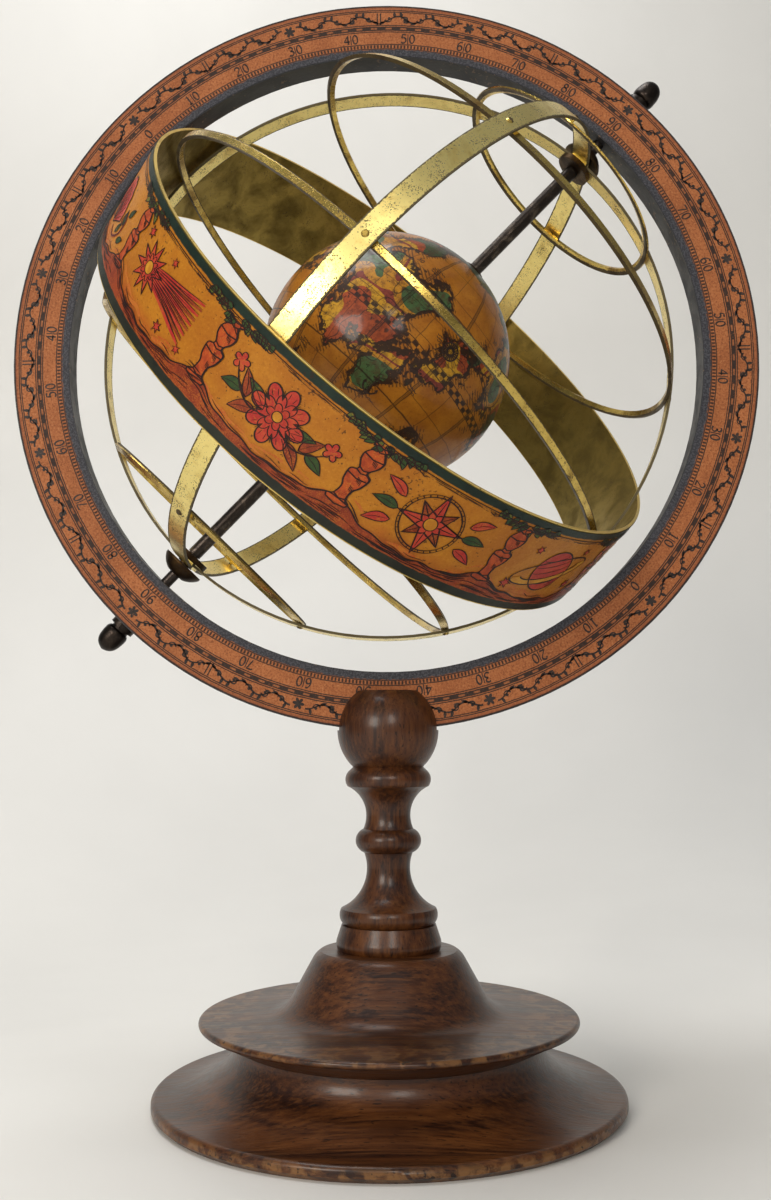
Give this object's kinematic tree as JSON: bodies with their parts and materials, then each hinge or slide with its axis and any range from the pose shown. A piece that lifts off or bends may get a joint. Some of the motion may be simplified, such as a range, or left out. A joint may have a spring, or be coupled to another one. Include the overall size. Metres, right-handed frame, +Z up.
{
  "type": "armillary sphere",
  "caption": "Desk armillary sphere: a spinning brass hoop cage and a printed globe on a tilted rod in a flat meridian ring, on a turned wooden stand.",
  "frame": {"origin": "middle of the foot's flat underside, on the surface that it stands on", "axes": "+Z up, -Y out of the meridian ring's printed front face, +X towards the rod's upper, north end"},
  "size_m": [0.2401, 0.1866, 0.3521],
  "materials": {
    "stained_beech": "dark stain under gloss varnish",
    "screw_steel": "plain zinc",
    "ring_black": "fibreboard, painted black",
    "ring_paper": "printed, matt",
    "dark_steel": "blackened",
    "dark_brass": "bronzed, worn",
    "hoop_brass": "bright with dark pits",
    "zodiac_paper": "printed and varnished",
    "globe_paper": "printed and varnished",
    "globe_wood": "bare under the gores"
  },
  "bodies": {
    "stand": {"foot_disc": "stained_beech", "plinth_disc": "stained_beech", "stem_collar": "stained_beech", "turned_stem": "stained_beech", "foot_screw": "screw_steel", "meridian_ring": "ring_black", "meridian_paper_front": "ring_paper", "meridian_paper_back": "ring_paper", "polar_rod": "dark_steel", "north_finial": "dark_steel", "south_finial": "dark_steel", "north_domed_washer": "dark_brass", "south_domed_washer": "dark_brass", "north_sleeve": "dark_steel", "south_sleeve": "dark_steel"},
    "cage": {"solstitial_colure": "hoop_brass", "equinoctial_colure": "hoop_brass", "arctic_circle": "hoop_brass", "tropic_of_cancer": "hoop_brass", "equator_hoop": "hoop_brass", "tropic_of_capricorn": "hoop_brass", "antarctic_circle": "hoop_brass", "hoop_rivets": "hoop_brass", "north_pole_bush": "hoop_brass", "south_pole_bush": "hoop_brass", "zodiac_band": "hoop_brass", "zodiac_paper": "zodiac_paper", "band_pins": "hoop_brass"},
    "globe": {"globe_ball": "globe_wood", "globe_gores": "globe_paper", "globe_north_cap": "dark_brass", "globe_south_cap": "dark_brass"}
  },
  "joints": [
    {"name": "cage_spin", "type": "hinge", "parent": "stand", "child": "cage", "pos_m": [0, 0, 0.23202], "axis": [0.6947, 0, 0.7193], "continuous": true},
    {"name": "globe_spin", "type": "hinge", "parent": "stand", "child": "globe", "pos_m": [0, 0, 0.23202], "axis": [0.6947, 0, 0.7193], "continuous": true}
  ]
}
